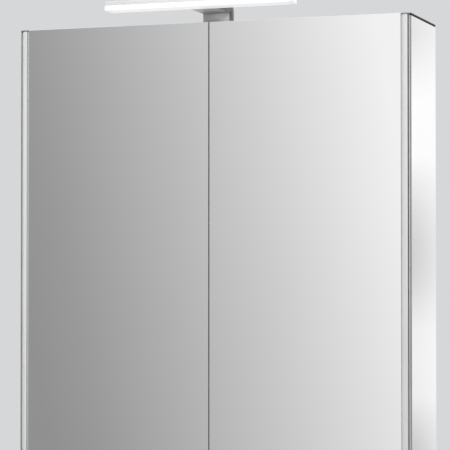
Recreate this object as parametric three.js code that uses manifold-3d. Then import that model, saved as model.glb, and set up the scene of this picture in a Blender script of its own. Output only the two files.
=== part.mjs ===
// Wall-hung mirror cabinet for a bathroom: an aluminium and glass carcass, two full-height doors of
// double-sided mirror on pivot hinges, two glass shelves, an inner service unit with a socket and a
// rocker switch, and a slim lamp bar on a bracket above the doors.
//
// Millimetres, +Z up, +X to the right when facing the cabinet, the front faces -Y.
// The origin is the middle of the back panel's rear face, which lies on the wall at y = 0.
import * as THREE from "three";
import { mergeVertices } from "three/addons/utils/BufferGeometryUtils.js";
import Module from "manifold-3d";

const wasm = await Module();
wasm.setup();

// ---------------------------------------------------------------- driving dimensions
const WIDTH = 650; // over the side mirrors
const HEIGHT = 680; // over the top and bottom panels
const DEPTH = 152; // from the wall to the carcass's front edges
const DOOR_PROUD = 4; // the doors' mirror face in front of those edges
const HALF_W = WIDTH / 2;
const HALF_H = HEIGHT / 2;
const Y_EDGE = -DEPTH; // plane of the carcass's front edges
const Y_DOOR = -(DEPTH + DOOR_PROUD); // plane of the door mirrors

const SHEET = 2; // top, bottom and back panels
const GLUE = 0.2; // bond line under bonded glass
const SIDE_GLASS = 2.5; // outer side mirrors
const SIDE_TRIM_H = 3.8; // dark trim above and below each side mirror
const WALL_OUT = HALF_W - SIDE_GLASS - GLUE; // outer face of the side profile's wall
const WALL_IN = WALL_OUT - 1.2; // its inner face, and the front lip's inner face
const PROFILE_Z = HALF_H - SHEET - 0.1; // half length of the side profiles

const PIVOT_X = 316.4; // door pivot axis, from the middle
const PIVOT_Y = Y_DOOR + 3.5; // and behind the door's front
const PIN_R = 1.5; // pivot pin
const PIN_BORE_R = 1.57; // its bore in the hinge profile, corner to corner of a 32-gon
const PANE = 2.9; // each of a door's two bonded panes
const PANE_X = 309.6; // outer edge of the panes
const DOOR_GAP = 1.4; // between the two doors
const DOOR_Z = HALF_H - 0.1; // half height of the panes
const HINGE_Z = HALF_H - SHEET - 0.4; // half length of the hinge profiles

const SHELF_T = 5;
const SHELF_Z = [95, -125]; // undersides of the two shelves
const SHELF_HOLES = [-32, 0, 32]; // support holes above and below each shelf
const SHELF_ROWS = [-112, -32]; // their y
const SHELF_HOLE_R = 2.6;
const PIN_DROP = 2.45; // a support pin's axis below the shelf it carries

const FLANGE_TOP = 12; // downturned front flange of the top panel
const FLANGE_BOTTOM = 8; // upturned front flange of the bottom panel
const FLANGE_X = 294;
const FLANGE_Y = -149; // front face of both flanges

const LAMP_LEN = 306.2; // the diffuser, end to end
const LAMP_DEPTH = 31;
const LAMP_H = 15;
const LAMP_LIFT = 16.7; // underside of the bar above the cabinet
const LAMP_FRONT = -212.5; // front of the bar
const DIFFUSER_H = 8.1;
const BRACKET_W = 44;
const BRACKET_FRONT = -122; // front face of the bracket's post
const BRACKET_REAR = -100.4;
const BRACKET_FILLET = 1.2; // between the post and the underside of its arm

const LEAD_R = 2; // two-core lamp lead
const ROCKER_TILT = 6; // degrees, each side of level

// ---------------------------------------------------------------- finishes
const finish = {
  mirror: () =>
    new THREE.MeshStandardMaterial({ color: 0xc9cccb, roughness: 0.05, metalness: 1 }),
  aluminium: () =>
    new THREE.MeshStandardMaterial({ color: 0xd6d8d7, roughness: 0.35, metalness: 0.9 }),
  satin: () =>
    new THREE.MeshStandardMaterial({ color: 0x9b9d9d, roughness: 0.3, metalness: 0.9 }),
  darkTrim: () =>
    new THREE.MeshStandardMaterial({ color: 0x47494a, roughness: 0.5, metalness: 0.2 }),
  white: () =>
    new THREE.MeshStandardMaterial({ color: 0xe8e9e8, roughness: 0.45, metalness: 0 }),
  steel: () =>
    new THREE.MeshStandardMaterial({ color: 0xb4b6b7, roughness: 0.3, metalness: 1 }),
  glass: () =>
    new THREE.MeshStandardMaterial({ color: 0xcfe6df, roughness: 0.05, metalness: 0, transparent: true, opacity: 0.4 }),
  diffuser: () =>
    new THREE.MeshStandardMaterial({ color: 0xffffff, roughness: 0.4, metalness: 0, emissive: 0xffffff }),
  rubber: () =>
    new THREE.MeshStandardMaterial({ color: 0x2c2d2e, roughness: 0.8, metalness: 0 }),
  silicone: () =>
    new THREE.MeshStandardMaterial({ color: 0xd8dcda, roughness: 0.5, metalness: 0 }),
  board: () =>
    new THREE.MeshStandardMaterial({ color: 0xf1f1ea, roughness: 0.5, metalness: 0 }),
};

// ---------------------------------------------------------------- shapes
function outline(points) {
  const shape = new THREE.Shape();
  shape.setFromPoints(points.map(([u, v]) => new THREE.Vector2(u, v)));
  return shape;
}

// Points along an arc about (cu, cv), from angle a0 to a1 in degrees, both ends included.
function arc(cu, cv, r, a0, a1, steps) {
  const points = [];
  for (let i = 0; i <= steps; i++) {
    const a = ((a0 + ((a1 - a0) * i) / steps) * Math.PI) / 180;
    points.push([cu + r * Math.cos(a), cv + r * Math.sin(a)]);
  }
  return points;
}

function extrude(shape, length, arris = 0) {
  return new THREE.ExtrudeGeometry(shape, {
    depth: length - 2 * arris,
    bevelEnabled: arris > 0,
    bevelThickness: arris,
    bevelSize: arris,
    bevelOffset: -arris,
    bevelSegments: 1,
    curveSegments: 12,
    steps: 1,
  }).translate(0, 0, arris);
}

// A prism whose section is drawn in (x, y) and runs along +Z from z0 to z1.
function prismZ(points, z0, z1, arris = 0) {
  return extrude(outline(points), z1 - z0, arris).translate(0, 0, z0);
}

// A prism whose section is drawn in (y, z) and runs along +X from x0 to x1.
function prismX(points, x0, x1, arris = 0) {
  const turn = new THREE.Matrix4().makeBasis(
    new THREE.Vector3(0, 1, 0),
    new THREE.Vector3(0, 0, 1),
    new THREE.Vector3(1, 0, 0),
  );
  return extrude(outline(points), x1 - x0, arris)
    .applyMatrix4(turn)
    .translate(x0, 0, 0);
}

// A prism whose section is drawn in (x, z) and runs along Y from y0 to y1.
function prismY(points, y0, y1, arris = 0) {
  const turn = new THREE.Matrix4().makeBasis(
    new THREE.Vector3(1, 0, 0),
    new THREE.Vector3(0, 0, 1),
    new THREE.Vector3(0, -1, 0),
  );
  return extrude(outline(points), y1 - y0, arris)
    .applyMatrix4(turn)
    .translate(0, y1, 0);
}

function box(x0, x1, y0, y1, z0, z1) {
  return new THREE.BoxGeometry(x1 - x0, y1 - y0, z1 - z0).translate(
    (x0 + x1) / 2,
    (y0 + y1) / 2,
    (z0 + z1) / 2,
  );
}

const rect = (u0, u1, v0, v1) => [
  [u0, v0],
  [u1, v0],
  [u1, v1],
  [u0, v1],
];

// A rectangle with rounded corners.
function roundRect(u0, u1, v0, v1, r, steps = 5) {
  return [
    ...arc(u1 - r, v0 + r, r, -90, 0, steps),
    ...arc(u1 - r, v1 - r, r, 0, 90, steps),
    ...arc(u0 + r, v1 - r, r, 90, 180, steps),
    ...arc(u0 + r, v0 + r, r, 180, 270, steps),
  ];
}

// A turned piece along +Z: radii and heights from the bottom up, closed on its axis.
function turned(profile, sides = 28) {
  const points = profile.map(([r, z]) => new THREE.Vector2(r, z));
  return new THREE.LatheGeometry(points, sides).rotateX(Math.PI / 2);
}

// A round bar along X, Y or Z from a to b.
function round(axis, c, r, a, b, sides = 24) {
  const g = new THREE.CylinderGeometry(r, r, b - a, sides);
  if (axis === "x") return g.rotateZ(Math.PI / 2).translate((a + b) / 2, c[0], c[1]);
  if (axis === "y") return g.translate(c[0], (a + b) / 2, c[1]);
  return g.rotateX(Math.PI / 2).translate(c[0], c[1], (a + b) / 2);
}

// ---------------------------------------------------------------- booleans
function solid(geometry) {
  const bare = new THREE.BufferGeometry().setAttribute(
    "position",
    geometry.getAttribute("position").clone(),
  );
  if (geometry.index) bare.setIndex(geometry.index.clone());
  const merged = mergeVertices(bare, 1e-4);
  return new wasm.Manifold(
    new wasm.Mesh({
      numProp: 3,
      vertProperties: new Float32Array(merged.attributes.position.array),
      triVerts: new Uint32Array(merged.index.array),
    }),
  );
}

function geometryOf(body) {
  const m = body.getMesh();
  const g = new THREE.BufferGeometry();
  g.setAttribute("position", new THREE.BufferAttribute(new Float32Array(m.vertProperties), 3));
  g.setIndex(new THREE.BufferAttribute(new Uint32Array(m.triVerts), 1));
  const flat = g.toNonIndexed();
  flat.computeVertexNormals();
  return flat;
}

function cut(base, ...tools) {
  return geometryOf(tools.reduce((s, t) => s.subtract(solid(t)), solid(base)));
}

function join(base, ...more) {
  return geometryOf(more.reduce((s, t) => s.add(solid(t)), solid(base)));
}

const group = new THREE.Group();
function place(parent, name, geometry, material) {
  const mesh = new THREE.Mesh(geometry, material);
  mesh.name = name;
  parent.add(mesh);
  return mesh;
}

const carcass = new THREE.Group();
group.add(carcass);

// ---------------------------------------------------------------- carcass
for (const [side, s] of [
  ["left", -1],
  ["right", 1],
]) {
  const mx = (points) => points.map(([x, y]) => [s * x, y]);
  const span = (a, b) => (s > 0 ? [a, b] : [-b, -a]);

  // Side profile: a thin wall with a front lip, a web behind the hinge channel with a stiffening
  // return, and a rear flange that the back panel is fixed to.
  const WEB_Y = -146.9;
  const section = mx([
    [WALL_OUT, Y_EDGE],
    [WALL_OUT, -SHEET - 0.1],
    [309, -SHEET - 0.1],
    [309, -SHEET - 1.9],
    [WALL_IN, -SHEET - 1.9],
    [WALL_IN, WEB_Y + 1.6],
    [309, WEB_Y + 1.6],
    [309, -138],
    [307.4, -138],
    [307.4, WEB_Y],
    [WALL_IN, WEB_Y],
    [WALL_IN, Y_EDGE],
  ]);
  const supportHoles = [];
  for (const z of SHELF_Z)
    for (const dz of SHELF_HOLES)
      for (const y of SHELF_ROWS)
        supportHoles.push(
          round("x", [y, z - PIN_DROP + dz], SHELF_HOLE_R, ...span(WALL_IN - 1, WALL_OUT + 1), 16),
        );
  place(
    carcass,
    "side_profile_" + side,
    cut(prismZ(section, -PROFILE_Z, PROFILE_Z), ...supportHoles),
    finish.aluminium(),
  );

  // Side mirror, bonded to the wall, with ground arrises.
  place(
    carcass,
    "side_mirror_" + side,
    prismX(
      rect(Y_EDGE, -0.2, -HALF_H + SIDE_TRIM_H, HALF_H - SIDE_TRIM_H),
      ...span(HALF_W - SIDE_GLASS, HALF_W),
      0.35,
    ),
    finish.mirror(),
  );

  // Dark trims above and below it: an outer bead flush with the glass, and a recessed foot.
  for (const [end, t] of [
    ["top", 1],
    ["bottom", -1],
  ]) {
    const trim = [
      [HALF_W - SIDE_GLASS, HALF_H - SIDE_TRIM_H + 0.2],
      [HALF_W - 0.8, HALF_H - SIDE_TRIM_H + 0.2],
      [HALF_W - 0.8, HALF_H - 2.3],
      [HALF_W, HALF_H - 2.3],
      [HALF_W, HALF_H - 0.4],
      [HALF_W - 0.4, HALF_H],
      [HALF_W - SIDE_GLASS, HALF_H],
    ].map(([x, z]) => [s * x, t * z]);
    place(carcass, end + "_trim_" + side, prismY(trim, Y_EDGE, -0.2), finish.darkTrim());
  }

  // Pivot caps: flat plates on the ends of the side profile that reach forward over the hinge
  // profile and carry its pins. The inner front edge is round the pivot, clear of the door's path.
  const cap = [
    [-6.5, 22.8],
    ...arc(0, 0, 6.5, 180, 210.5, 6),
    ...arc(3.2, -0.6, 2.7, -90, 0, 6),
    [5.9, 22.8],
  ].map(([x, y]) => [s * x, y]);
  for (const [end, t] of [
    ["top", 1],
    ["bottom", -1],
  ]) {
    const z = t > 0 ? [HALF_H - SHEET, HALF_H] : [-HALF_H, -HALF_H + SHEET];
    const capMesh = place(
      carcass,
      "pivot_cap_" + end + "_" + side,
      cut(
        prismZ(cap, ...z),
        round("z", [0, 0], PIN_R + 0.1, z[0] - 1, z[1] + 1, 24),
        round("z", [0, 17], 1.7, z[0] - 1, z[1] + 1, 20),
      ),
      finish.satin(),
    );
    capMesh.position.set(s * PIVOT_X, PIVOT_Y, 0);

    const pin = turned(
      [
        [0, 0],
        [PIN_R - 0.4, 0],
        [PIN_R, 0.4],
        [PIN_R, 15.5],
        [PIN_R - 0.3, 15.8],
        [0, 15.8],
      ],
      24,
    );
    const pinMesh = place(carcass, "pivot_pin_" + end + "_" + side, pin, finish.steel());
    pinMesh.position.set(s * PIVOT_X, PIVOT_Y, t > 0 ? HALF_H - 0.2 - 15.8 : -HALF_H + 0.2 + 15.8);
    if (t < 0) pinMesh.rotation.x = Math.PI;
  }
}

// Top and bottom panels: sheets folded down or up at the front, notched for the pivot caps.
function panel(z0, z1, flangeZ0, flangeZ1) {
  const nx = PIVOT_X - 6.8;
  const ny = PIVOT_Y + 23.1;
  const plan = [
    [-WALL_OUT, -SHEET - 0.1],
    [-WALL_OUT, ny],
    [-nx, ny],
    [-nx, FLANGE_Y],
    [nx, FLANGE_Y],
    [nx, ny],
    [WALL_OUT, ny],
    [WALL_OUT, -SHEET - 0.1],
  ];
  return join(
    prismZ(plan, z0, z1),
    box(-FLANGE_X, FLANGE_X, FLANGE_Y, FLANGE_Y + 1.6, flangeZ0, flangeZ1),
  );
}
const leadY = (BRACKET_FRONT + BRACKET_REAR) / 2;
const SCREW_X = 13;
place(
  carcass,
  "top_panel",
  cut(
    panel(HALF_H - SHEET, HALF_H, HALF_H - SHEET - FLANGE_TOP, HALF_H - SHEET / 2),
    box(-24.6, 24.6, FLANGE_Y - 1, FLANGE_Y + 3, HALF_H - SHEET - FLANGE_TOP - 1, HALF_H - SHEET),
    round("z", [0, leadY], 5, HALF_H - SHEET - 1, HALF_H + 1, 24),
    round("z", [-SCREW_X, leadY], 2.2, HALF_H - SHEET - 1, HALF_H + 1, 20),
    round("z", [SCREW_X, leadY], 2.2, HALF_H - SHEET - 1, HALF_H + 1, 20),
  ),
  finish.aluminium(),
);
place(
  carcass,
  "bottom_panel",
  panel(-HALF_H, -HALF_H + SHEET, -HALF_H + SHEET / 2, -HALF_H + SHEET + FLANGE_BOTTOM),
  finish.aluminium(),
);

// Back panel with a window behind each hanger plate and a hole for the mains cable.
const HANGER_X = 288;
const HANGER_Z = 312;
const INLET = [196, 310];
place(
  carcass,
  "back_panel",
  cut(
    box(-WALL_OUT, WALL_OUT, -SHEET, 0, -HALF_H, HALF_H),
    box(-HANGER_X - 9, -HANGER_X + 9, -SHEET - 1, 1, HANGER_Z - 14, HANGER_Z + 13),
    box(HANGER_X - 9, HANGER_X + 9, -SHEET - 1, 1, HANGER_Z - 14, HANGER_Z + 13),
    round("y", INLET, 7, -SHEET - 1, 1, 28),
  ),
  finish.white(),
);
for (const [side, s] of [
  ["left", -1],
  ["right", 1],
]) {
  // Hanger plate: a keyhole, wide below for the screw's head and narrow above for its shank.
  const keyhole = [
    [-5, -12],
    [5, -12],
    [5, -2],
    [2.6, 0.4],
    [2.6, 8.5],
    ...arc(0, 8.5, 2.6, 0, 180, 8).slice(1, -1),
    [-2.6, 8.5],
    [-2.6, 0.4],
    [-5, -2],
  ];
  const plate = cut(
    prismY(roundRect(-19, 19, -20, 20, 4), 0, 2),
    prismY(keyhole, -1, 3),
    round("y", [-13, 0], 1.6, -1, 3, 16),
    round("y", [13, 0], 1.6, -1, 3, 16),
  );
  const mesh = place(carcass, "hanger_plate_" + side, plate, finish.steel());
  mesh.position.set(s * HANGER_X, -SHEET - 2.2, HANGER_Z);
}

// Inner mirror on the back panel, below the service zone.
place(
  carcass,
  "back_mirror",
  prismY(rect(-308, 308, -HALF_H + SHEET + 2, 280), -SHEET - 3.2, -SHEET - 0.2, 0.35),
  finish.mirror(),
);

// ---------------------------------------------------------------- shelves
SHELF_Z.forEach((z, i) => {
  const level = i === 0 ? "upper" : "lower";
  const shelf = new THREE.Group();
  shelf.position.set(0, 0, z);
  carcass.add(shelf);
  place(
    shelf,
    "shelf_" + level,
    prismZ(roundRect(-319.4, 319.4, -135, -8, 3, 4), 0, SHELF_T, 0.5),
    finish.glass(),
  );
  for (const [side, s] of [
    ["left", -1],
    ["right", 1],
  ])
    for (const [row, y] of [
      ["front", SHELF_ROWS[0]],
      ["rear", SHELF_ROWS[1]],
    ]) {
      // Support pin: a shank in the wall, a collar against it and a peg with a flat top.
      const turnedPin = turned(
        [
          [0, 0],
          [2.2, 0],
          [2.5, 0.3],
          [2.5, 9.5],
          [4.4, 9.5],
          [4.4, 10.6],
          [2.3, 10.6],
          [2.3, 11.8],
          [0, 11.8],
        ],
        20,
      );
      const pin = cut(turnedPin, box(-6, 6, 2.3, 8, -1, 9.4));
      const mesh = place(shelf, ["shelf_pin", level, row, side].join("_"), pin, finish.steel());
      // The pin's axis lies across the cabinet with its shank outwards and its flat upwards.
      mesh.setRotationFromMatrix(
        new THREE.Matrix4().makeBasis(
          new THREE.Vector3(0, s, 0),
          new THREE.Vector3(0, 0, 1),
          new THREE.Vector3(s, 0, 0),
        ),
      );
      mesh.position.set(s * (WALL_IN - 10.7), y, -PIN_DROP);
    }
});

// ---------------------------------------------------------------- magnetic catch and bumpers
place(
  carcass,
  "magnet_catch",
  join(
    box(-24, 24, -149.2, -138, HALF_H - SHEET - FLANGE_TOP, HALF_H - SHEET - 0.1),
    box(-24, 24, -142, -128, HALF_H - SHEET - 2.6, HALF_H - SHEET - 0.1),
  ),
  finish.white(),
);
for (const [side, s] of [
  ["left", -1],
  ["right", 1],
]) {
  const bumper = turned(
    [
      [0, 0],
      [4, 0],
      [4, 0.35],
      [3.6, 0.7],
      [0, 0.7],
    ],
    20,
  ).rotateX(Math.PI / 2);
  const mesh = place(carcass, "door_bumper_" + side, bumper, finish.silicone());
  mesh.position.set(s * 250, FLANGE_Y - 0.05, -HALF_H + SHEET + 4);
}

// ---------------------------------------------------------------- service unit
const unit = new THREE.Group();
unit.position.set(151, -SHEET - 0.2, HALF_H - SHEET - 28.2);
carcass.add(unit);
const UNIT_W = 107; // half width
const UNIT_H = 26; // half height
const UNIT_D = 56;
const SOCKET_X = 68;
const ROCKER_X = 14;
place(
  unit,
  "service_box",
  cut(
    prismY(roundRect(-UNIT_W, UNIT_W, -UNIT_H, UNIT_H, 3), -UNIT_D, 0),
    box(-UNIT_W + 2, UNIT_W - 2, -UNIT_D + 2, 1, -UNIT_H + 2, UNIT_H - 2),
    round("y", [SOCKET_X, 0], 20.4, -UNIT_D - 1, -UNIT_D + 3, 36),
    box(ROCKER_X - 10, ROCKER_X + 10, -UNIT_D - 1, -UNIT_D + 3, -14.5, 14.5),
    round("x", [-27, 10], LEAD_R + 0.4, -UNIT_W - 1, -UNIT_W + 3, 16),
  ),
  finish.white(),
);
place(
  unit,
  "service_fascia",
  cut(
    prismY(roundRect(-UNIT_W + 1, UNIT_W - 1, -UNIT_H + 1, UNIT_H - 1, 4), -UNIT_D - 2.7, -UNIT_D - 0.2),
    round("y", [SOCKET_X, 0], 21.6, -UNIT_D - 5, -UNIT_D + 3, 40),
    box(ROCKER_X - 9.4, ROCKER_X + 9.4, -UNIT_D - 5, -UNIT_D + 3, -13.6, 13.6),
  ),
  finish.aluminium(),
);
place(
  unit,
  "socket_insert",
  (() => {
    // A round cup with a deep recess, two contact holes and a guide ridge on each side.
    const cup = turned(
      [
        [0, -17],
        [20, -17],
        [20, 0.8],
        [21.2, 0.8],
        [21.2, 3],
        [20.6, 3.6],
        [18, 3.6],
        [18, -12],
        [0, -12],
      ],
      40,
    ).rotateX(Math.PI / 2);
    // The turned piece's axis now points to -Y, out of the unit.
    return cut(
      join(
        cup,
        box(15.6, 18.5, -2, 12.5, -2.2, 2.2),
        box(-18.5, -15.6, -2, 12.5, -2.2, 2.2),
      ),
      round("y", [9.5, 0], 2.4, 11, 16, 16),
      round("y", [-9.5, 0], 2.4, 11, 16, 16),
    ).translate(SOCKET_X, -UNIT_D, 0);
  })(),
  finish.white(),
);
// Rocker: two shallow faces meeting at a valley over its pivot, held at the on position.
const rockerFace = [
  [4.5, -12.4],
  [-6.1, -12.4],
  [-4.1, 0],
  [-6.1, 12.4],
  [4.5, 12.4],
  [5.6, 0],
];
const rocker = place(
  unit,
  "rocker_switch",
  prismX(rockerFace, ROCKER_X - 8.6, ROCKER_X + 8.6, 0.5),
  finish.white(),
);
rocker.position.set(0, -UNIT_D, 0);
rocker.rotation.x = (-ROCKER_TILT * Math.PI) / 180;
place(
  unit,
  "led_driver",
  join(
    prismY(roundRect(-92, -22, -17, 17, 2), -44, -9),
    box(-98, -90, -40, -13, -15, -11),
    box(-24, -16, -40, -13, -15, -11),
  ),
  finish.white(),
);
// Grommet in the back panel where a mains cable comes in from the wall.
const inletRing = cut(
  join(
    round("y", INLET, 6.8, -SHEET - 0.2, -0.2, 28),
    round("y", INLET, 9.4, -SHEET - 2.4, -SHEET - 0.2, 28),
  ),
  round("y", INLET, 4, -9, 1, 24),
);
place(carcass, "cable_grommet", inletRing, finish.rubber());

// ---------------------------------------------------------------- lamp
const lamp = new THREE.Group();
lamp.position.set(0, 0, HALF_H);
group.add(lamp);
const LAMP_REAR = LAMP_FRONT + LAMP_DEPTH;
const ARM_Z = 17.7; // underside of the bracket's arm
const ARM_TOP = 28.4;
const bracketSide = [
  [BRACKET_REAR, 0.05],
  [BRACKET_REAR, ARM_TOP - 7],
  ...arc(BRACKET_REAR - 7, ARM_TOP - 7, 7, 0, 90, 8).slice(1),
  [LAMP_REAR + 0.2, ARM_TOP],
  [LAMP_REAR + 0.2, ARM_Z],
  ...arc(BRACKET_FRONT - BRACKET_FILLET, ARM_Z - BRACKET_FILLET, BRACKET_FILLET, 90, 0, 5),
  [BRACKET_FRONT, 0.05],
];
place(
  lamp,
  "lamp_bracket",
  cut(
    prismX(bracketSide, -BRACKET_W / 2, BRACKET_W / 2),
    round("z", [0, leadY], 3.4, -1, 9, 24),
    round("z", [-SCREW_X, leadY], 2.1, -1, 12, 20),
    round("z", [SCREW_X, leadY], 2.1, -1, 12, 20),
  ),
  finish.satin(),
);
// Bar: an aluminium cover with a rear skirt, closed below by the diffuser tray.
const z0 = LAMP_LIFT;
const zj = z0 + DIFFUSER_H;
const z1 = z0 + LAMP_H;
const coverX = LAMP_LEN / 2 - 1.2;
place(
  lamp,
  "lamp_cover",
  cut(
    prismX(
      [
        [LAMP_FRONT + 0.6, z1],
        [LAMP_FRONT, z1 - 0.6],
        [LAMP_FRONT, zj + 0.1],
        [LAMP_REAR - 1.6, zj + 0.1],
        [LAMP_REAR - 1.6, z0 + 0.2],
        [LAMP_REAR, z0 + 0.2],
        [LAMP_REAR, z1 - 0.6],
        [LAMP_REAR - 0.6, z1],
      ],
      -coverX,
      coverX,
    ),
    box(-coverX + 2, coverX - 2, LAMP_FRONT + 2.4, LAMP_REAR - 4, zj - 1, z1 - 2),
  ),
  finish.aluminium(),
);
place(
  lamp,
  "lamp_diffuser",
  cut(
    prismX(
      [
        [LAMP_FRONT, zj],
        [LAMP_FRONT, z0 + 0.8],
        [LAMP_FRONT + 0.8, z0],
        [LAMP_REAR - 1.8, z0],
        [LAMP_REAR - 1.8, zj],
      ],
      -LAMP_LEN / 2,
      LAMP_LEN / 2,
    ),
    box(-LAMP_LEN / 2 + 2.6, LAMP_LEN / 2 - 2.6, LAMP_FRONT + 2, LAMP_REAR - 3.8, z0 + 1.6, zj + 1),
  ),
  finish.diffuser(),
);
place(
  lamp,
  "led_board",
  box(-coverX + 4, coverX - 4, LAMP_FRONT + 5, LAMP_REAR - 7, z1 - 3.6, z1 - 2.2),
  finish.board(),
);
// Screws that hold the bracket down, put in from inside the cabinet.
for (const [side, s] of [
  ["left", -1],
  ["right", 1],
]) {
  const screw = turned(
    [
      [0, 0],
      [3.1, 0],
      [3.6, 0.5],
      [3.6, 2.1],
      [1.9, 2.1],
      [1.9, 13.4],
      [1.4, 13.9],
      [0, 13.9],
    ],
    20,
  );
  const hex = new THREE.CylinderGeometry(1.5, 1.5, 2.4, 6).rotateX(Math.PI / 2);
  const mesh = place(carcass, "bracket_screw_" + side, cut(screw, hex), finish.steel());
  mesh.position.set(s * SCREW_X, leadY, HALF_H - SHEET - 2.3);
}
// Grommet in the top panel, and the lead that runs from the service unit into the bracket.
place(
  carcass,
  "lead_grommet",
  cut(
    join(
      round("z", [0, leadY], 4.8, HALF_H - SHEET - 0.2, HALF_H - 0.1, 24),
      round("z", [0, leadY], 6.6, HALF_H - SHEET - 1.8, HALF_H - SHEET - 0.2, 24),
    ),
    round("z", [0, leadY], LEAD_R + 0.3, HALF_H - 8, HALF_H + 2, 20),
  ),
  finish.rubber(),
);
const leadZ = HALF_H - SHEET - 18.2;
const leadStart = unit.position.x - UNIT_W - 0.3;
const leadRear = unit.position.y - 27;
const bend = 18;
const v = (x, y, z) => new THREE.Vector3(x, y, z);
const legs = [];
const quarter = (c, a, b) => {
  for (let i = 1; i <= 6; i++) {
    const t = (i * Math.PI) / 12;
    legs.push(c.clone().addScaledVector(a, Math.cos(t)).addScaledVector(b, Math.sin(t)));
  }
};
legs.push(v(leadStart, leadRear, leadZ), v(leadStart - 10, leadRear, leadZ), v(bend, leadRear, leadZ));
quarter(v(bend, leadRear - bend, leadZ), v(0, bend, 0), v(-bend, 0, 0));
legs.push(v(0, leadRear - bend - 10, leadZ), v(0, leadY + bend + 6, leadZ), v(0, leadY + bend, leadZ));
quarter(v(0, leadY + bend, leadZ + bend), v(0, 0, -bend), v(0, -bend, 0));
legs.push(v(0, leadY, HALF_H + 3), v(0, leadY, HALF_H + 8));
const smooth = new THREE.CatmullRomCurve3(legs, false, "centripetal");
place(
  carcass,
  "lamp_lead",
  new THREE.ExtrudeGeometry(outline(arc(0, 0, LEAD_R, 0, 324, 9)), {
    steps: 34,
    bevelEnabled: false,
    extrudePath: smooth,
  }),
  finish.rubber(),
);
// Clip that holds the lead under the top panel.
place(
  carcass,
  "lead_clip",
  cut(
    join(
      box(-4.2, 4.2, -76, -70, leadZ - 3.6, HALF_H - SHEET - 1.5),
      box(-4.2, 12, -77, -69, HALF_H - SHEET - 1.6, HALF_H - SHEET - 0.1),
    ),
    round("y", [0, leadZ], LEAD_R + 0.35, -90, -60, 20),
  ),
  finish.white(),
);

// ---------------------------------------------------------------- doors
for (const [side, s] of [
  ["left", -1],
  ["right", 1],
]) {
  const door = new THREE.Group();
  door.position.set(s * PIVOT_X, PIVOT_Y, 0);
  group.add(door);
  const front = Y_DOOR - PIVOT_Y;
  const free = -(PIVOT_X - DOOR_GAP / 2);
  const outer = PANE_X - PIVOT_X;
  const xs = s > 0 ? [free, outer] : [-outer, -free];

  // Two panes bonded back to back, so the door is a mirror on both faces.
  place(
    door,
    "door_mirror_" + side,
    prismY(rect(...xs, -DOOR_Z, DOOR_Z), front, front + PANE, 0.5),
    finish.mirror(),
  );
  place(
    door,
    "door_inner_mirror_" + side,
    prismY(rect(...xs, -DOOR_Z, DOOR_Z), front + PANE + GLUE, front + 2 * PANE + GLUE, 0.35),
    finish.mirror(),
  );
  // Hinge profile: a land level with the mirror, a shallow groove beside the pane, a bore for
  // the pivot pins and a flange bonded behind the panes.
  const section = [
    [-3.9, front],
    ...arc(1.5, front + 2, 2, -90, 0, 6),
    ...arc(2.0, 2.8, 1.5, 0, 90, 5),
    [-20.4, 4.3],
    [-20.4, 2.7],
    [-6.6, 2.7],
    [-6.6, front + 1.4],
    [-3.9, front + 1.4],
  ].map(([x, y]) => [s * x, y]);
  place(
    door,
    "hinge_profile_" + side,
    cut(
      prismZ(section, -HINGE_Z, HINGE_Z),
      round("z", [0, 0], PIN_BORE_R, -HALF_H, HALF_H, 32),
    ),
    finish.aluminium(),
  );
  // Strike plate for the magnet, bonded to the inner pane at the free edge.
  const sx = s > 0 ? [free + 3, free + 21] : [-free - 21, -free - 3];
  place(
    door,
    "strike_plate_" + side,
    prismY(roundRect(...sx, 327, 336.5, 1.5, 3), 2.6, 3.1),
    finish.steel(),
  );
}

export default group;
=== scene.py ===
# Looks for a wall-hung two-door mirror cabinet with a lamp bar. Blender 4.5, metres, the CAD model's own frame.
import bpy, bmesh, math
from mathutils import Vector, Matrix


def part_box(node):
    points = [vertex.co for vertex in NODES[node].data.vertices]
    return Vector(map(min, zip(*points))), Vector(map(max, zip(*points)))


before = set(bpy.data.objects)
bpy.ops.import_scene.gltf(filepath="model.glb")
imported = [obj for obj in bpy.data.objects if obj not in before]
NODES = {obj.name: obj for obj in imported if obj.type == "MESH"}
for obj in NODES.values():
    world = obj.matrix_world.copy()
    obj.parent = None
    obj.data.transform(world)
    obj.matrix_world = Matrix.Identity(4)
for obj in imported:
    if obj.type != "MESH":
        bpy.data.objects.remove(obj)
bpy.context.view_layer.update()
scene = bpy.context.scene
scene.view_settings.view_transform = "Standard"
scene.view_settings.look = "None"
# Mirrors face mirrors inside, so light needs more turns than usual to find its way out.
scene.cycles.max_bounces = 20
scene.cycles.glossy_bounces = 14

# ------------------------------------------------------------------ camera
lo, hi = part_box("side_mirror_right")
X_SIDE, Y_EDGE = hi.x, lo.y          # right side's outer face, plane of the carcass's front edges
cam_data = bpy.data.cameras.new("camera")
cam = bpy.data.objects.new("camera", cam_data)
scene.collection.objects.link(cam)
cam_data.sensor_width = 36.0
cam_data.lens = 165.88
cam_data.shift_y = 0.0475
cam_data.clip_start, cam_data.clip_end = 0.05, 100.0
cam.location = (X_SIDE + 0.7899, Y_EDGE - 3.0418, -0.0850)
cam.rotation_euler = (math.radians(91.3), 0, math.radians(19.704))
scene.camera = cam


# ------------------------------------------------------------------ node helpers
def srgb(v):
    """A 0 to 255 display value as a linear number."""
    v = v / 255.0
    return v / 12.92 if v <= 0.04045 else ((v + 0.055) / 1.055) ** 2.4


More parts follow.
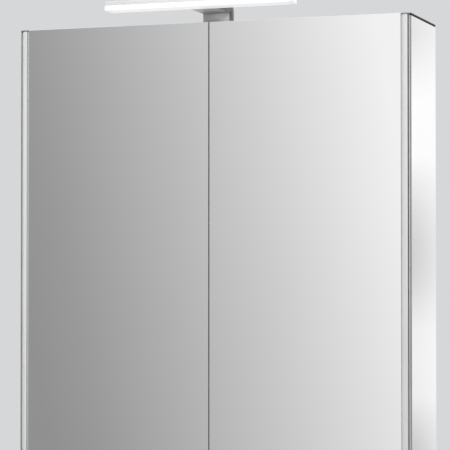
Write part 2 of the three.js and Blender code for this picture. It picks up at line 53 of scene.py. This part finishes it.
class Tree:
    def __init__(self, tree):
        self.t = tree
        self.t.nodes.clear()

    def n(self, kind, **inputs):
        node = self.t.nodes.new(kind)
        for k, v in inputs.items():
            if hasattr(node, k) and k not in node.inputs:
                setattr(node, k, v)
            else:
                self.set(node, k, v)
        return node

    def set(self, node, key, v):
        s = node.inputs[key]
        if isinstance(v, bpy.types.NodeSocket):
            self.t.links.new(v, s)
        else:
            s.default_value = v

    def math(self, op, a, b=None, c=None, clamp=False):
        node = self.t.nodes.new("ShaderNodeMath")
        node.operation = op
        node.use_clamp = clamp
        for i, v in enumerate((a, b, c)):
            if v is None:
                continue
            if isinstance(v, bpy.types.NodeSocket):
                self.t.links.new(v, node.inputs[i])
            else:
                node.inputs[i].default_value = v
        return node.outputs[0]

    def ramp(self, fac, stops, interpolation="LINEAR"):
        node = self.t.nodes.new("ShaderNodeValToRGB")
        node.color_ramp.interpolation = interpolation
        e = node.color_ramp.elements
        while len(e) > 1:
            e.remove(e[-1])
        first = True
        for pos, col in stops:
            if not hasattr(col, "__len__"):
                col = (col, col, col)
            if first:
                e[0].position = pos
                e[0].color = (*col, 1)
                first = False
            else:
                e.new(pos).color = (*col, 1)
        self.t.links.new(fac, node.inputs[0])
        return node.outputs[0]

    def mix(self, fac, a, b):
        node = self.t.nodes.new("ShaderNodeMix")
        node.data_type = "RGBA"
        for sock, v in ((node.inputs[0], fac), (node.inputs[6], a), (node.inputs[7], b)):
            if isinstance(v, bpy.types.NodeSocket):
                self.t.links.new(v, sock)
            elif hasattr(v, "__len__"):
                sock.default_value = (*v[:3], 1)
            else:
                sock.default_value = v
        return node.outputs[2]

    def link(self, a, b):
        self.t.links.new(a, b)


# ------------------------------------------------------------------ studio
def studio():
    """A soft studio all round: bright towards the camera's side, falling off to a darker left, and pale elsewhere."""
    world = bpy.data.worlds.new("studio")
    scene.world = world
    world.use_nodes = True
    t = Tree(world.node_tree)
    tc = t.n("ShaderNodeTexCoord")
    sep = t.n("ShaderNodeSeparateXYZ")
    t.link(tc.outputs["Generated"], sep.inputs[0])
    x, y, z = sep.outputs
    deg = 180 / math.pi
    phi = t.math("MULTIPLY", t.math("ARCTAN2", t.math("MULTIPLY", x, -1.0), t.math("MULTIPLY", y, -1.0)), deg)
    eps = t.math("MULTIPLY", t.math("ARCSINE", z), deg)
    near = t.math("MAXIMUM", t.math("MINIMUM", eps, 25.0), -25.0)
    s = t.math("SUBTRACT", phi, t.math("MULTIPLY", near, 0.2))
    fac = t.math("DIVIDE", t.math("ADD", s, 180.0), 360.0)
    deg_stops = [(-180, 236), (-150, 238), (-120, 226), (-90, 205), (-60, 186), (-35, 172), (-16, 172), (-8, 196), (2, 236), (8, 241), (14.19, 241),
                 (24.88, 145), (45, 143), (70, 168), (100, 200), (130, 224), (160, 236), (180, 236)]
    around = t.ramp(fac, [((d + 180) / 360, v / 255) for d, v in deg_stops])
    # Soft level bands behind the cabinet, which its side mirrors pick up, fainter towards straight behind.
    efac = t.math("DIVIDE", t.math("ADD", eps, 12.36), 24.0, clamp=True)
    dips = t.ramp(efac, [((e + 12) / 24, v / 40) for e, v in
                         [(-12, 24), (-5.5, 38), (-4.4, 40), (-3.77, 36), (-3.09, 24), (-2.5, 12), (-1.45, 10), (-0.63, 11), (0.19, 21.5), (0.6, 27),
                          (1.0, 30.5), (1.42, 32), (1.82, 31), (2.23, 27), (2.65, 23), (3.46, 12), (4.1, 1.5), (5.6, 0), (6.2, 4), (6.72, 9), (7.5, 18),
                          (12, 14)]])
    az = t.math("SUBTRACT", 180.0, t.math("ABSOLUTE", phi))
    depth = t.math("ADD", 1.0, t.math("MULTIPLY", t.math("SUBTRACT", az, 14.17), 1.0))
    depth = t.math("MINIMUM", t.math("MAXIMUM", depth, 0.35), 1.35)
    bands = t.math("SUBTRACT", 250 / 255, t.math("MULTIPLY", t.math("MULTIPLY", dips, depth), 40 / 255))
    back = t.math("MULTIPLY", t.math("SUBTRACT", t.math("ABSOLUTE", phi), 110.0), 1 / 25.0, clamp=True)
    tone = t.mix(back, around, bands)
    # Display values to light.
    lin = t.math("POWER", t.math("DIVIDE", t.math("ADD", tone, 0.055), 1.055), 2.4)
    # Overhead softbox and a dimmer ground.
    up = t.math("MULTIPLY", t.math("SUBTRACT", eps, 35.0), 1 / 30.0, clamp=True)
    down = t.math("MULTIPLY", t.math("SUBTRACT", t.math("MULTIPLY", eps, -1.0), 12.0), 1 / 40.0, clamp=True)
    lin = t.math("MULTIPLY", lin, t.math("ADD", 1.0, t.math("MULTIPLY", up, 0.45)))
    lin = t.math("MULTIPLY", lin, t.math("SUBTRACT", 1.0, t.math("MULTIPLY", down, 0.35)))
    light = t.n("ShaderNodeBackground")
    t.link(t.math("MULTIPLY", lin, 1.13), light.inputs[0])
    seen = t.n("ShaderNodeBackground")
    seen.inputs[0].default_value = (srgb(214), srgb(215), srgb(217), 1)
    lp = t.n("ShaderNodeLightPath")
    mixs = t.n("ShaderNodeMixShader")
    t.link(lp.outputs["Is Camera Ray"], mixs.inputs[0])
    t.link(light.outputs[0], mixs.inputs[1])
    t.link(seen.outputs[0], mixs.inputs[2])
    out = t.n("ShaderNodeOutputWorld")
    t.link(mixs.outputs[0], out.inputs[0])


studio()


def area(name, loc, target, size, power, size_y=None):
    d = bpy.data.lights.new(name, "AREA")
    d.energy = power
    d.size = size
    if size_y:
        d.shape = "RECTANGLE"
        d.size_y = size_y
    o = bpy.data.objects.new(name, d)
    scene.collection.objects.link(o)
    o.location = loc
    o.rotation_euler = (Vector(target) - Vector(loc)).to_track_quat("-Z", "Y").to_euler()
    o.visible_glossy = False
    return o


area("key", (1.5, -2.0, 2.2), (0, -0.1, 0.1), 1.4, 16)
area("front", (-0.3, -3.0, 1.3), (0, -0.1, 0.1), 1.8, 22)


def floor():
    m = bpy.data.meshes.new("floor")
    bm = bmesh.new()
    n = 96
    ring = [bm.verts.new((9 * math.cos(2 * math.pi * i / n), 9 * math.sin(2 * math.pi * i / n), -1.5)) for i in range(n)]
    bm.faces.new(ring)
    bm.to_mesh(m)
    bm.free()
    o = bpy.data.objects.new("floor", m)
    scene.collection.objects.link(o)
    o.visible_glossy = False
    mat = bpy.data.materials.new("floor")
    mat.use_nodes = True
    t = Tree(mat.node_tree)
    p = t.n("ShaderNodeBsdfPrincipled")
    p.inputs["Base Color"].default_value = (0.62, 0.62, 0.63, 1)
    p.inputs["Roughness"].default_value = 0.9
    out = t.n("ShaderNodeOutputMaterial")
    t.link(p.outputs[0], out.inputs[0])
    o.data.materials.append(mat)


floor()


# ------------------------------------------------------------------ materials
LAMP_LOW, LAMP_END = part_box("lamp_diffuser")[0].z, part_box("lamp_diffuser")[1].x
POST_LOW, ARM_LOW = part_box("top_panel")[1].z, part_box("top_panel")[1].z + 0.0177
LAMP_BACK, POST_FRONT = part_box("lamp_cover")[1].y, -0.122
STRIP_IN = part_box("door_mirror_left")[0].x
TRIM_LOW, TRIM_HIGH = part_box("top_trim_right")[0].z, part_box("top_trim_right")[1].z


def material(name, build):
    mat = bpy.data.materials.new(name)
    mat.use_nodes = True
    t = Tree(mat.node_tree)
    p = t.n("ShaderNodeBsdfPrincipled")
    out = t.n("ShaderNodeOutputMaterial")
    t.link(p.outputs[0], out.inputs[0])
    build(t, p)
    return mat


def coords(t, scale=(1, 1, 1)):
    tc = t.n("ShaderNodeTexCoord")
    mp = t.n("ShaderNodeMapping")
    mp.inputs["Scale"].default_value = scale
    t.link(tc.outputs["Object"], mp.inputs[0])
    return mp.outputs[0]


def noise(t, vec, scale, detail=3.0, rough=0.5):
    n = t.n("ShaderNodeTexNoise")
    n.inputs["Scale"].default_value = scale
    n.inputs["Detail"].default_value = detail
    n.inputs["Roughness"].default_value = rough
    t.link(vec, n.inputs["Vector"])
    return n.outputs["Fac"]


def remap(t, v, a, b, c=0.35, d=0.65):
    """Stretches a noise value so that c becomes a and d becomes b."""
    m = t.n("ShaderNodeMapRange")
    m.inputs["From Min"].default_value = c
    m.inputs["From Max"].default_value = d
    m.inputs["To Min"].default_value = a
    m.inputs["To Max"].default_value = b
    t.link(v, m.inputs["Value"])
    return m.outputs[0]


def bump(t, p, height, strength, distance):
    b = t.n("ShaderNodeBump")
    b.inputs["Strength"].default_value = strength
    b.inputs["Distance"].default_value = distance
    t.link(height, b.inputs["Height"])
    t.link(b.outputs[0], p.inputs["Normal"])


def mirror_mat(name, tint):
    """Silvered float glass: clean, with the faintest haze of handling and no visible distortion."""
    def build(t, p):
        v = coords(t)
        haze = noise(t, v, 5.5, 5, 0.6)
        p.inputs["Metallic"].default_value = 1.0
        col = t.mix(remap(t, haze, 0, 1), [c * 0.988 for c in tint], tint)
        t.link(col, p.inputs["Base Color"])
        fine = noise(t, v, 60, 4, 0.6)
        both = t.math("MULTIPLY", remap(t, haze, 0.006, 0.016), remap(t, fine, 0.8, 1.25))
        t.link(both, p.inputs["Roughness"])
    return material(name, build)


def glass_edge_mat(name, dark, light, rough=0.22):
    """The ground and polished edge of a glass pane: grey-green, with fine grinding marks along the edge."""
    def build(t, p):
        v = coords(t, (1, 1, 1))
        g = noise(t, v, 900, 3, 0.6)
        slow = noise(t, v, 24, 3, 0.5)
        col = t.mix(remap(t, slow, 0, 1), dark, light)
        t.link(col, p.inputs["Base Color"])
        t.link(remap(t, g, rough * 0.75, rough * 1.35), p.inputs["Roughness"])
        p.inputs["Metallic"].default_value = 0.15
        p.inputs["Coat Weight"].default_value = 0.6
        p.inputs["Coat Roughness"].default_value = 0.08
        bump(t, p, g, 0.15, 0.0002)
    return material(name, build)


def anodised_mat(name, col, rough=0.3, grain_axis="z", grain=0.08, metal=1.0, depth=0.00004, painted_shading=None):
    """Satin anodised aluminium with extrusion or brush lines along one axis.

    The last argument is (axis, from, to, tone at from, tone at to): painted light and shade, the colour painted
    lighter or darker along that axis."""
    def build(t, p):
        long = {"x": (0.02, 1, 1), "y": (1, 0.02, 1), "z": (1, 1, 0.02)}[grain_axis]
        lines = noise(t, coords(t, long), 2600, 4, 0.65)
        broad = noise(t, coords(t, long), 260, 3, 0.5)
        cloud = noise(t, coords(t), 14, 3, 0.5)
        tone = t.math("MULTIPLY", remap(t, lines, 1 - grain, 1 + grain * 0.6), remap(t, cloud, 0.985, 1.012))
        # Painted light and shade: the colour is scaled lighter or darker along one axis.
        if painted_shading:
            sep = t.n("ShaderNodeSeparateXYZ")
            t.link(coords(t), sep.inputs[0])
            tone = t.math("MULTIPLY", tone, remap(t, sep.outputs[painted_shading[0]], painted_shading[3], painted_shading[4], painted_shading[1], painted_shading[2]))
        mixc = t.n("ShaderNodeMix", data_type="RGBA", blend_type="MULTIPLY")
        mixc.inputs[0].default_value = 1.0
        mixc.inputs[6].default_value = (*col, 1)
        comb = t.n("ShaderNodeCombineColor")
        for i in range(3):
            t.link(tone, comb.inputs[i])
        t.link(comb.outputs[0], mixc.inputs[7])
        t.link(mixc.outputs[2], p.inputs["Base Color"])
        p.inputs["Metallic"].default_value = metal
        t.link(t.math("ADD", remap(t, broad, rough * 0.9, rough * 1.12), remap(t, lines, -0.02, 0.03)), p.inputs["Roughness"])
        bump(t, p, lines, 0.25, depth)
    return material(name, build)


def plastic_mat(name, col, rough=0.42, grain=0.05, spec=0.5, scale=2200):
    """Moulded plastic or powder coat with a fine spark-eroded grain."""
    def build(t, p):
        v = coords(t)
        g = noise(t, v, scale, 2, 0.5)
        slow = noise(t, v, 18, 3, 0.5)
        c = t.mix(remap(t, slow, 0, 1), [x * (1 - grain * 0.6) for x in col], col)
        t.link(c, p.inputs["Base Color"])
        t.link(remap(t, g, rough * 0.88, rough * 1.15), p.inputs["Roughness"])
        p.inputs["Specular IOR Level"].default_value = spec
        bump(t, p, g, 0.3, 0.00006)
    return material(name, build)


def diffuser_mat():
    """Opal acrylic lit from inside, a touch dimmer towards its ends and lower edge."""
    def build(t, p):
        v = coords(t)
        g = noise(t, v, 1500, 2, 0.5)
        p.inputs["Base Color"].default_value = (0.60, 0.60, 0.60, 1)
        t.link(remap(t, g, 0.28, 0.36), p.inputs["Roughness"])
        sep = t.n("ShaderNodeSeparateXYZ")
        t.link(v, sep.inputs[0])
        # Dimmer towards each end, where the board stops short, and towards the lower edge.
        end = t.math("DIVIDE", t.math("SUBTRACT", LAMP_END, t.math("ABSOLUTE", sep.outputs[0])), 0.012, clamp=True)
        low = t.math("DIVIDE", t.math("SUBTRACT", sep.outputs[2], LAMP_LOW), 0.004, clamp=True)
        slow = noise(t, v, 30, 2, 0.5)
        level = t.math("MULTIPLY", t.math("ADD", 0.80, t.math("MULTIPLY", end, 0.20)), t.math("ADD", 0.90, t.math("MULTIPLY", low, 0.10)))
        level = t.math("MULTIPLY", level, remap(t, slow, 0.98, 1.0))
        comb = t.n("ShaderNodeCombineColor")
        for i in range(3):
            t.link(level, comb.inputs[i])
        t.link(comb.outputs[0], p.inputs["Emission Color"])
        p.inputs["Emission Strength"].default_value = 0.62
        bump(t, p, g, 0.1, 0.00003)
    return material("opal_diffuser", build)


def trim_mat():
    """Dark satin trim with painted light: a deep lower band of painted shadow, a lighter line of painted highlight
    and a dark upper edge, mirrored below the cabinet.
    """
    def build(t, p):
        tc = t.n("ShaderNodeTexCoord")
        sep = t.n("ShaderNodeSeparateXYZ")
        t.link(tc.outputs["Object"], sep.inputs[0])
        h = t.math("ABSOLUTE", sep.outputs[2])
        g = noise(t, coords(t, (1, 0.03, 1)), 2400, 3, 0.6)
        fac = t.math("DIVIDE", t.math("SUBTRACT", h, TRIM_LOW), TRIM_HIGH - TRIM_LOW, clamp=True)
        # By height: the deep lower band is painted shadow in the gap above the glass, and the lighter line is a
        # painted highlight.
        band = t.ramp(fac, [(0.0, 0.012), (0.34, 0.012), (0.42, 0.12), (0.58, 0.13), (0.66, 0.05), (1.0, 0.06)])
        t.link(t.mix(remap(t, g, 0, 0.25), band, (0.01, 0.01, 0.01)), p.inputs["Base Color"])
        t.link(remap(t, g, 0.46, 0.58), p.inputs["Roughness"])
        p.inputs["Specular IOR Level"].default_value = 0.05
        bump(t, p, g, 0.2, 0.00003)
    return material("trim_dark_painted_shadow_and_highlight", build)


def clear_glass_mat():
    def build(t, p):
        v = coords(t)
        haze = noise(t, v, 9, 4, 0.55)
        p.inputs["Base Color"].default_value = (0.94, 0.985, 0.97, 1)
        p.inputs["Transmission Weight"].default_value = 1.0
        p.inputs["IOR"].default_value = 1.5
        t.link(remap(t, haze, 0.004, 0.02), p.inputs["Roughness"])
    return material("shelf_glass_clear", build)


M = {
    "door_mirror": mirror_mat("silvered_glass_doors", (0.885, 0.888, 0.888)),
    "side_mirror": mirror_mat("silvered_glass_sides", (0.885, 0.887, 0.886)),
    "pane_edge": glass_edge_mat("pane_edge_polished", (0.05, 0.064, 0.06), (0.08, 0.10, 0.095)),
    # Arris colours are painted light: near white for a painted highlight along the pane edges, mid grey for painted
    # shade where the doors meet.
    "pane_arris": glass_edge_mat("pane_arris_painted_highlight", (0.88, 0.90, 0.895), (0.94, 0.95, 0.95), 0.12),
    "gap_arris": glass_edge_mat("pane_arris_painted_gap_shade", (0.46, 0.475, 0.47), (0.53, 0.54, 0.54), 0.16),
    "side_edge": glass_edge_mat("side_pane_edge", (0.27, 0.28, 0.28), (0.33, 0.34, 0.34)),
    "profile": anodised_mat("anodised_extrusion", (0.88, 0.89, 0.88), 0.5, "z", 0.05, 0.15),
    # Left hinge profile: painted shade, its colour turning darker over the last few millimetres before the mirror's
    # edge.
    "profile_left": anodised_mat("anodised_extrusion_left_painted_shade", (0.88, 0.89, 0.88), 0.5, "z", 0.05, 0.15,
                                 painted_shading=(0, STRIP_IN - 0.0035, STRIP_IN - 0.0028, 1.0, 0.71)),
    # The hinge profile's side faces: the same aluminium painted darker, as painted shade.
    "profile_side": anodised_mat("anodised_extrusion_sides_painted_shade", (0.36, 0.365, 0.36), 0.5, "z", 0.05, 0.15),
    "lip": anodised_mat("anodised_side_profile", (0.88, 0.89, 0.88), 0.5, "z", 0.05, 0.15),
    # The top panel's sheet: painted darker than the same sheet on the bottom panel, as painted shade.
    "panel": anodised_mat("anodised_sheet_painted_shade", (0.34, 0.345, 0.345), 0.55, "x", 0.06, 0.4),
    "panel_light": anodised_mat("anodised_sheet", (0.66, 0.665, 0.665), 0.42, "x", 0.06, 0.5),
    "cap": anodised_mat("satin_cast_cap", (0.50, 0.50, 0.50), 0.36, "x"),
    # The lamp bracket is one satin metal painted as three shades by facing. Its front is painted lighter at the foot
    # of the post and darker towards the arm, as painted shade and reflection in the inner corner.
    "bracket": anodised_mat("satin_bracket", (0.80, 0.80, 0.80), 0.34, "x", 0.03, 0.45, 0.00001, (2, POST_LOW, ARM_LOW, 1.25, 0.78)),
    # Underside: painted lighter towards the lamp and darker towards the post, painted shade in the inner corner.
    "bracket_under": anodised_mat("bracket_underside_painted_shade", (0.86, 0.86, 0.86), 0.30, "x", 0.02, 0.3, 0.000004, (1, LAMP_BACK, POST_FRONT, 1.15, 0.90)),
    # Sides: painted dark, as painted shade.
    "bracket_side": anodised_mat("bracket_sides_painted_shade", (0.17, 0.17, 0.17), 0.45, "y", 0.06, 0.35, 0.00002),
    "lamp_cover": anodised_mat("lamp_cover_anodised", (0.98, 0.98, 0.98), 0.45, "x", 0.015, 0.1),
    "trim": trim_mat(),
    "steel": anodised_mat("zinc_steel", (0.70, 0.71, 0.73), 0.24, "x", 0.04),
    "white_panel": plastic_mat("white_powder_coat", (0.84, 0.845, 0.84), 0.45, 0.04, 0.5, 1400),
    "white_plastic": plastic_mat("white_moulding", (0.86, 0.86, 0.85), 0.38),
    "rubber": plastic_mat("black_rubber", (0.03, 0.03, 0.032), 0.75, 0.2, 0.3, 1600),
    "silicone": plastic_mat("soft_silicone", (0.76, 0.78, 0.77), 0.5, 0.05, 0.4),
    "board": plastic_mat("board_mask", (0.90, 0.90, 0.85), 0.4),
    "diffuser": diffuser_mat(),
    "glass": clear_glass_mat(),
}


def set_slots(o, names, pick=None):
    """Gives a node its materials. pick says, from a face's normal and centre, which of them the face takes."""
    o.data.materials.clear()
    for n in names:
        o.data.materials.append(M[n])
    for p in o.data.polygons:
        p.material_index = pick(p.normal, p.center) if pick else 0
        p.use_smooth = False


def bevel(o, width, segments=2, angle=40):
    w = o.modifiers.new("weld", "WELD")
    w.merge_threshold = 0.00001
    b = o.modifiers.new("edges", "BEVEL")
    b.width = width
    b.segments = segments
    b.limit_method = "ANGLE"
    b.angle_limit = math.radians(angle)
    b.harden_normals = True
    b.use_clamp_overlap = True
    for p in o.data.polygons:
        p.use_smooth = True
    return o


def pane(name, axis, names=("door_mirror", "pane_edge", "pane_arris", "gap_arris")):
    """A mirror pane: its silvered face, its flat edges and its arrises. The arrises are painted near white as a
    painted highlight, and the arris where the doors meet is painted duller, as painted shade in the gap.
    """
    def pick(n, c):
        if abs(n[axis]) > 0.95:
            return 0
        if abs(n[axis]) > 0.3:
            return 3 if axis == 1 and abs(c.x) < 0.004 else 2
        return 1
    set_slots(NODES[name], names, pick)


for side in ("left", "right"):
    pane("door_mirror_" + side, 1)
    pane("door_inner_mirror_" + side, 1)
    pane("side_mirror_" + side, 0, ("side_mirror", "side_edge", "side_edge"))
    # Sideways-facing faces of the hinge profile take the darker copy: painted shade.
    set_slots(NODES["hinge_profile_" + side], ["profile_left" if side == "left" else "profile", "profile_side"],
              lambda n, c: 1 if abs(n.x) > 0.9 else 0)
    bevel(NODES["hinge_profile_" + side], 0.00025)
    set_slots(NODES["side_profile_" + side], ["lip"])
    bevel(NODES["side_profile_" + side], 0.0002)
    for e in ("top", "bottom"):
        set_slots(NODES[f"{e}_trim_{side}"], ["trim"])
        set_slots(NODES[f"pivot_cap_{e}_{side}"], ["cap"])
        bevel(NODES[f"pivot_cap_{e}_{side}"], 0.0003)
        set_slots(NODES[f"pivot_pin_{e}_{side}"], ["steel"])
    set_slots(NODES["hanger_plate_" + side], ["steel"])
    bevel(NODES["hanger_plate_" + side], 0.0003)
    set_slots(NODES["door_bumper_" + side], ["silicone"])
    set_slots(NODES["bracket_screw_" + side], ["steel"])
    set_slots(NODES["strike_plate_" + side], ["steel"])
    for lv in ("upper", "lower"):
        for row in ("front", "rear"):
            set_slots(NODES[f"shelf_pin_{lv}_{row}_{side}"], ["steel"])
set_slots(NODES["back_mirror"], ["side_mirror", "pane_edge", "pane_arris"], lambda n, c: 0 if abs(n.y) > 0.95 else (2 if abs(n.y) > 0.3 else 1))
# The top panel takes the darker copy of the sheet, painted shade.
for nm, slot in (("top_panel", "panel"), ("bottom_panel", "panel_light"), ("service_fascia", "panel_light")):
    set_slots(NODES[nm], [slot])
    bevel(NODES[nm], 0.0003)
set_slots(NODES["back_panel"], ["white_panel"])
for nm in ("magnet_catch", "service_box", "socket_insert", "rocker_switch", "led_driver", "lead_clip"):
    set_slots(NODES[nm], ["white_plastic"])
for nm in ("magnet_catch", "service_box", "rocker_switch", "led_driver"):
    bevel(NODES[nm], 0.0005)
for nm in ("cable_grommet", "lead_grommet", "lamp_lead"):
    set_slots(NODES[nm], ["rubber"])
for nm in ("shelf_upper", "shelf_lower"):
    set_slots(NODES[nm], ["glass"])
# Bracket faces take a painted shade by their facing: sides dark, underside and front each with their own painted
# gradient.
set_slots(NODES["lamp_bracket"], ["bracket", "bracket_side", "bracket_under"], lambda n, c: 1 if abs(n.x) > 0.9 else (2 if n.z < -0.5 else 0))
bevel(NODES["lamp_bracket"], 0.0008, 3)
set_slots(NODES["lamp_cover"], ["lamp_cover"])
bevel(NODES["lamp_cover"], 0.0003)
set_slots(NODES["lamp_diffuser"], ["diffuser"])
bevel(NODES["lamp_diffuser"], 0.0005)
set_slots(NODES["led_board"], ["board"])
